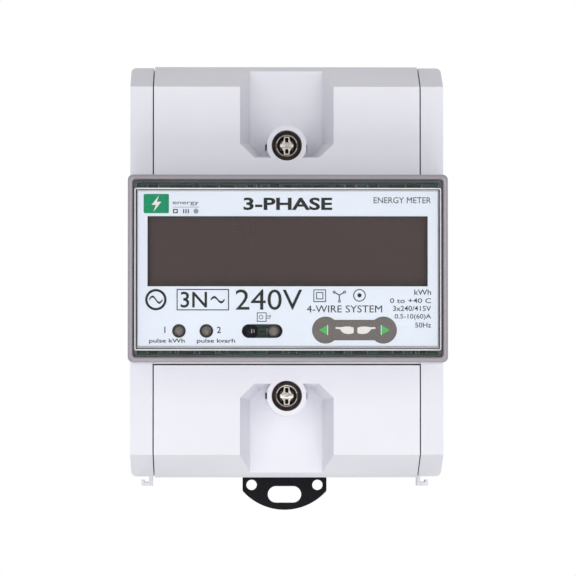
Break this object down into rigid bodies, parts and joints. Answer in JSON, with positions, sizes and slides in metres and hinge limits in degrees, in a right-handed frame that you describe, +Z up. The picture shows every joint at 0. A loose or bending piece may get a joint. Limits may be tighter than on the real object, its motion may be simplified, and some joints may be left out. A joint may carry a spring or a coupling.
{
  "type": "smart electric meter",
  "caption": "Three-phase smart electricity meter for a 35 mm DIN rail: clear window nose with display, two lift-off terminal covers with sealing screws, clamp terminals and a sprung rail clip.",
  "frame": {"origin": "centre of the rail seat, the face on the back that rests on the DIN rail", "axes": "+Z up the meter, +Y out of the back towards the wall, -Y out of the window"},
  "size_m": [0.0766, 0.065, 0.1103],
  "materials": {
    "housing_plastic": "fine-grained moulded light grey",
    "cover_plastic": "fine-grained moulded light grey",
    "clear_polycarbonate": "clear, glossy",
    "label_film": "printed satin film",
    "white_plastic": "white moulded",
    "display_glass": "dark, unlit display under a polariser",
    "rubber_strip": "matt",
    "circuit_board": "green solder resist, satin",
    "lamp_epoxy": "smoky clear epoxy",
    "black_plastic": "satin black",
    "plated_steel": "nickel or zinc plated",
    "blue_resin": "dipped resin",
    "copper": "tinned edge, satin copper",
    "transformer_tape": "yellow wound tape",
    "capacitor_sleeve": "shrunk sleeve",
    "terminal_plastic": "glass-filled, slightly rough",
    "aux_terminal_plastic": "green moulded",
    "brass": "nickel-washed brass"
  },
  "bodies": {
    "meter_body": {"base_housing": "housing_plastic", "front_housing": "housing_plastic", "window_cover": "clear_polycarbonate", "label_plate": "label_film", "display_carrier": "white_plastic", "lcd_glass": "display_glass", "lcd_backlight": "white_plastic", "lcd_connector_strips": "rubber_strip", "display_board": "circuit_board", "pulse_leds": "lamp_epoxy", "infrared_emitter": "black_plastic", "infrared_receiver": "lamp_epoxy", "touch_springs": "plated_steel", "display_board_screws": "plated_steel", "main_board": "circuit_board", "board_header": "black_plastic", "main_board_screws": "plated_steel", "metering_chip": "black_plastic", "processor_chip": "black_plastic", "current_transformers": "blue_resin", "busbar_1": "copper", "busbar_2": "copper", "busbar_3": "copper", "busbar_4": "copper", "power_transformer": "transformer_tape", "filter_capacitors": "capacitor_sleeve", "surge_varistors": "blue_resin", "optocouplers": "white_plastic", "upper_terminal_block": "terminal_plastic", "lower_terminal_block": "terminal_plastic", "aux_terminal_block": "aux_terminal_plastic", "cover_screw_inserts": "brass", "housing_screws": "plated_steel", "clip_spring": "plated_steel"},
    "rail_clip": {"din_clip": "black_plastic"},
    "upper_cover": {"upper_terminal_cover": "cover_plastic"},
    "upper_seal_screw": {"upper_cover_screw": "plated_steel"},
    "lower_cover": {"lower_terminal_cover": "cover_plastic"},
    "lower_seal_screw": {"lower_cover_screw": "plated_steel"},
    "clamp_screw_1": {"terminal_screw_1": "plated_steel"},
    "clamp_1": {"terminal_cage_1": "brass"},
    "clamp_screw_2": {"terminal_screw_2": "plated_steel"},
    "clamp_2": {"terminal_cage_2": "brass"},
    "clamp_screw_3": {"terminal_screw_3": "plated_steel"},
    "clamp_3": {"terminal_cage_3": "brass"},
    "clamp_screw_4": {"terminal_screw_4": "plated_steel"},
    "clamp_4": {"terminal_cage_4": "brass"},
    "clamp_screw_5": {"terminal_screw_5": "plated_steel"},
    "clamp_5": {"terminal_cage_5": "brass"},
    "clamp_screw_6": {"terminal_screw_6": "plated_steel"},
    "clamp_6": {"terminal_cage_6": "brass"},
    "clamp_screw_7": {"terminal_screw_7": "plated_steel"},
    "clamp_7": {"terminal_cage_7": "brass"},
    "clamp_screw_8": {"terminal_screw_8": "plated_steel"},
    "clamp_8": {"terminal_cage_8": "brass"},
    "small_screw_1": {"aux_screw_1": "plated_steel"},
    "small_screw_2": {"aux_screw_2": "plated_steel"},
    "small_screw_3": {"aux_screw_3": "plated_steel"},
    "small_screw_4": {"aux_screw_4": "plated_steel"}
  },
  "joints": [
    {"name": "rail_clip_slide", "type": "slide", "parent": "meter_body", "child": "rail_clip", "axis": [0, 0, -1], "range_m": [0, 0.005], "stiffness_N_per_m": 1200, "springref_m": -0.0025, "deforming": ["clip_spring"]},
    {"name": "upper_cover_lift", "type": "slide", "parent": "meter_body", "child": "upper_cover", "axis": [0, -1, 0], "range_m": [0, 0.03]},
    {"name": "upper_seal_screw_turn", "type": "hinge", "parent": "upper_cover", "child": "upper_seal_screw", "pos_m": [0, -0.0352, 0.0305], "axis": [0, -1, 0], "range_deg": [0, 1800]},
    {"name": "lower_cover_lift", "type": "slide", "parent": "meter_body", "child": "lower_cover", "axis": [0, -1, 0], "range_m": [0, 0.03]},
    {"name": "lower_seal_screw_turn", "type": "hinge", "parent": "lower_cover", "child": "lower_seal_screw", "pos_m": [0, -0.0352, -0.0305], "axis": [0, -1, 0], "range_deg": [0, 1800]},
    {"name": "clamp_screw_1_turn", "type": "hinge", "parent": "meter_body", "child": "clamp_screw_1", "pos_m": [-0.023, -0.02155, 0.034], "axis": [0, 1, 0], "range_deg": [0, 1350]},
    {"name": "clamp_1_rise", "type": "slide", "parent": "meter_body", "child": "clamp_1", "axis": [0, -1, 0], "range_m": [0, 0.003]},
    {"name": "clamp_screw_2_turn", "type": "hinge", "parent": "meter_body", "child": "clamp_screw_2", "pos_m": [-0.009, -0.02155, 0.034], "axis": [0, 1, 0], "range_deg": [0, 1350]},
    {"name": "clamp_2_rise", "type": "slide", "parent": "meter_body", "child": "clamp_2", "axis": [0, -1, 0], "range_m": [0, 0.003]},
    {"name": "clamp_screw_3_turn", "type": "hinge", "parent": "meter_body", "child": "clamp_screw_3", "pos_m": [0.009, -0.02155, 0.034], "axis": [0, 1, 0], "range_deg": [0, 1350]},
    {"name": "clamp_3_rise", "type": "slide", "parent": "meter_body", "child": "clamp_3", "axis": [0, -1, 0], "range_m": [0, 0.003]},
    {"name": "clamp_screw_4_turn", "type": "hinge", "parent": "meter_body", "child": "clamp_screw_4", "pos_m": [0.023, -0.02155, 0.034], "axis": [0, 1, 0], "range_deg": [0, 1350]},
    {"name": "clamp_4_rise", "type": "slide", "parent": "meter_body", "child": "clamp_4", "axis": [0, -1, 0], "range_m": [0, 0.003]},
    {"name": "clamp_screw_5_turn", "type": "hinge", "parent": "meter_body", "child": "clamp_screw_5", "pos_m": [-0.023, -0.02155, -0.034], "axis": [0, 1, 0], "range_deg": [0, 1350]},
    {"name": "clamp_5_rise", "type": "slide", "parent": "meter_body", "child": "clamp_5", "axis": [0, -1, 0], "range_m": [0, 0.003]},
    {"name": "clamp_screw_6_turn", "type": "hinge", "parent": "meter_body", "child": "clamp_screw_6", "pos_m": [-0.009, -0.02155, -0.034], "axis": [0, 1, 0], "range_deg": [0, 1350]},
    {"name": "clamp_6_rise", "type": "slide", "parent": "meter_body", "child": "clamp_6", "axis": [0, -1, 0], "range_m": [0, 0.003]},
    {"name": "clamp_screw_7_turn", "type": "hinge", "parent": "meter_body", "child": "clamp_screw_7", "pos_m": [0.009, -0.02155, -0.034], "axis": [0, 1, 0], "range_deg": [0, 1350]},
    {"name": "clamp_7_rise", "type": "slide", "parent": "meter_body", "child": "clamp_7", "axis": [0, -1, 0], "range_m": [0, 0.003]},
    {"name": "clamp_screw_8_turn", "type": "hinge", "parent": "meter_body", "child": "clamp_screw_8", "pos_m": [0.023, -0.02155, -0.034], "axis": [0, 1, 0], "range_deg": [0, 1350]},
    {"name": "clamp_8_rise", "type": "slide", "parent": "meter_body", "child": "clamp_8", "axis": [0, -1, 0], "range_m": [0, 0.003]},
    {"name": "small_screw_1_turn", "type": "hinge", "parent": "meter_body", "child": "small_screw_1", "pos_m": [0.0168, -0.0319, 0.0263], "axis": [0, 1, 0], "range_deg": [0, 1080]},
    {"name": "small_screw_2_turn", "type": "hinge", "parent": "meter_body", "child": "small_screw_2", "pos_m": [0.0204, -0.0319, 0.0263], "axis": [0, 1, 0], "range_deg": [0, 1080]},
    {"name": "small_screw_3_turn", "type": "hinge", "parent": "meter_body", "child": "small_screw_3", "pos_m": [0.024, -0.0319, 0.0263], "axis": [0, 1, 0], "range_deg": [0, 1080]},
    {"name": "small_screw_4_turn", "type": "hinge", "parent": "meter_body", "child": "small_screw_4", "pos_m": [0.0276, -0.0319, 0.0263], "axis": [0, 1, 0], "range_deg": [0, 1080]}
  ],
  "couplings": [
    {"joint": "clamp_screw_1_turn", "follows": "clamp_1_rise", "rad_per_m": 7854},
    {"joint": "clamp_screw_2_turn", "follows": "clamp_2_rise", "rad_per_m": 7854},
    {"joint": "clamp_screw_3_turn", "follows": "clamp_3_rise", "rad_per_m": 7854},
    {"joint": "clamp_screw_4_turn", "follows": "clamp_4_rise", "rad_per_m": 7854},
    {"joint": "clamp_screw_5_turn", "follows": "clamp_5_rise", "rad_per_m": 7854},
    {"joint": "clamp_screw_6_turn", "follows": "clamp_6_rise", "rad_per_m": 7854},
    {"joint": "clamp_screw_7_turn", "follows": "clamp_7_rise", "rad_per_m": 7854},
    {"joint": "clamp_screw_8_turn", "follows": "clamp_8_rise", "rad_per_m": 7854}
  ]
}
